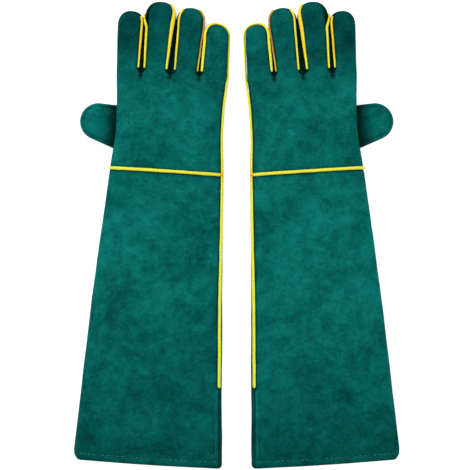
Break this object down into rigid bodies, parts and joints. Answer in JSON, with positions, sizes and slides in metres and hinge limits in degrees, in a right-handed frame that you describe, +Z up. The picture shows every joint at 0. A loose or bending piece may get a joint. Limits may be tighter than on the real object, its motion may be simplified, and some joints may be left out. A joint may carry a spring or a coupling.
{
  "type": "gardening gloves",
  "caption": "Pair of long leather gauntlet gloves with welted seams and separate fingers and thumbs, laid flat; for handling thorny plants.",
  "frame": {"origin": "middle of the pair's bounding box in X and Y, at the surface that the gloves lie on", "axes": "+Y from the hems towards the fingertips, +Z up through the backs of the hands, +X from the right-hand glove towards the left-hand glove"},
  "size_m": [0.4188, 0.5972, 0.0419],
  "materials": {
    "green_leather": "dyed split cowhide, suede nap",
    "yellow_welt": "yellow leather welting, matte",
    "cotton_lining": "plain cotton lining",
    "thread": "light green sewing thread"
  },
  "bodies": {
    "right_cuff": {"right_cuff_back": "green_leather", "right_cuff_palm": "green_leather", "right_cuff_lining": "cotton_lining", "right_cuff_welt": "yellow_welt", "right_hem_stitches": "thread", "right_wrist_band": "green_leather"},
    "right_hand": {"right_hand_back": "green_leather", "right_hand_palm": "green_leather", "right_hand_lining": "cotton_lining", "right_wrist_welt": "yellow_welt", "right_side_welt": "yellow_welt", "right_knuckle_sleeves": "green_leather"},
    "right_index": {"right_index_back": "green_leather", "right_index_palm": "green_leather", "right_index_sidewalls": "green_leather", "right_index_welts": "yellow_welt"},
    "right_middle": {"right_middle_back": "green_leather", "right_middle_palm": "green_leather", "right_middle_sidewalls": "green_leather", "right_middle_welts": "yellow_welt"},
    "right_ring": {"right_ring_back": "green_leather", "right_ring_palm": "green_leather", "right_ring_sidewalls": "green_leather", "right_ring_welts": "yellow_welt"},
    "right_little": {"right_little_back": "green_leather", "right_little_palm": "green_leather", "right_little_sidewalls": "green_leather", "right_little_welts": "yellow_welt"},
    "right_thumb": {"right_thumb_back": "green_leather", "right_thumb_palm": "green_leather"},
    "left_cuff": {"left_cuff_back": "green_leather", "left_cuff_palm": "green_leather", "left_cuff_lining": "cotton_lining", "left_cuff_welt": "yellow_welt", "left_hem_stitches": "thread", "left_wrist_band": "green_leather"},
    "left_hand": {"left_hand_back": "green_leather", "left_hand_palm": "green_leather", "left_hand_lining": "cotton_lining", "left_wrist_welt": "yellow_welt", "left_side_welt": "yellow_welt", "left_knuckle_sleeves": "green_leather"},
    "left_index": {"left_index_back": "green_leather", "left_index_palm": "green_leather", "left_index_sidewalls": "green_leather", "left_index_welts": "yellow_welt"},
    "left_middle": {"left_middle_back": "green_leather", "left_middle_palm": "green_leather", "left_middle_sidewalls": "green_leather", "left_middle_welts": "yellow_welt"},
    "left_ring": {"left_ring_back": "green_leather", "left_ring_palm": "green_leather", "left_ring_sidewalls": "green_leather", "left_ring_welts": "yellow_welt"},
    "left_little": {"left_little_back": "green_leather", "left_little_palm": "green_leather", "left_little_sidewalls": "green_leather", "left_little_welts": "yellow_welt"},
    "left_thumb": {"left_thumb_back": "green_leather", "left_thumb_palm": "green_leather"}
  },
  "joints": [
    {"name": "right_wrist", "type": "hinge", "parent": "right_cuff", "child": "right_hand", "pos_m": [-0.09004, 0.0695, 0.016], "axis": [0.9979, -0.0645, 0], "range_deg": [-45, 60], "deforming": ["right_wrist_band"]},
    {"name": "right_index_curl", "type": "hinge", "parent": "right_hand", "child": "right_index", "pos_m": [-0.14062, 0.21707, 0.012], "axis": [-0.9979, 0.0645, 0], "range_deg": [-20, 70], "deforming": ["right_knuckle_sleeves"]},
    {"name": "right_middle_curl", "type": "hinge", "parent": "right_hand", "child": "right_middle", "pos_m": [-0.1027, 0.21462, 0.012], "axis": [-0.9979, 0.0645, 0], "range_deg": [-20, 70], "deforming": ["right_knuckle_sleeves"]},
    {"name": "right_ring_curl", "type": "hinge", "parent": "right_hand", "child": "right_ring", "pos_m": [-0.06478, 0.21217, 0.012], "axis": [-0.9979, 0.0645, 0], "range_deg": [-20, 70], "deforming": ["right_knuckle_sleeves"]},
    {"name": "right_little_curl", "type": "hinge", "parent": "right_hand", "child": "right_little", "pos_m": [-0.02885, 0.20985, 0.012], "axis": [-0.9979, 0.0645, 0], "range_deg": [-20, 70], "deforming": ["right_knuckle_sleeves"]},
    {"name": "right_thumb_swing", "type": "hinge", "parent": "right_hand", "child": "right_thumb", "pos_m": [-0.12998, 0.13371, 0.007], "axis": [0, 0, -1], "range_deg": [-12, 30]},
    {"name": "left_wrist", "type": "hinge", "parent": "left_cuff", "child": "left_hand", "pos_m": [0.09004, 0.0695, 0.016], "axis": [0.9979, 0.0645, 0], "range_deg": [-45, 60], "deforming": ["left_wrist_band"]},
    {"name": "left_index_curl", "type": "hinge", "parent": "left_hand", "child": "left_index", "pos_m": [0.14062, 0.21707, 0.012], "axis": [-0.9979, -0.0645, 0], "range_deg": [-20, 70], "deforming": ["left_knuckle_sleeves"]},
    {"name": "left_middle_curl", "type": "hinge", "parent": "left_hand", "child": "left_middle", "pos_m": [0.1027, 0.21462, 0.012], "axis": [-0.9979, -0.0645, 0], "range_deg": [-20, 70], "deforming": ["left_knuckle_sleeves"]},
    {"name": "left_ring_curl", "type": "hinge", "parent": "left_hand", "child": "left_ring", "pos_m": [0.06478, 0.21217, 0.012], "axis": [-0.9979, -0.0645, 0], "range_deg": [-20, 70], "deforming": ["left_knuckle_sleeves"]},
    {"name": "left_little_curl", "type": "hinge", "parent": "left_hand", "child": "left_little", "pos_m": [0.02885, 0.20985, 0.012], "axis": [-0.9979, -0.0645, 0], "range_deg": [-20, 70], "deforming": ["left_knuckle_sleeves"]},
    {"name": "left_thumb_swing", "type": "hinge", "parent": "left_hand", "child": "left_thumb", "pos_m": [0.12998, 0.13371, 0.007], "axis": [0, 0, 1], "range_deg": [-12, 30]},
    {"name": "left_glove_apart", "type": "slide", "parent": "right_cuff", "child": "left_cuff", "axis": [1, 0, 0], "range_m": [0, 0.3]}
  ]
}
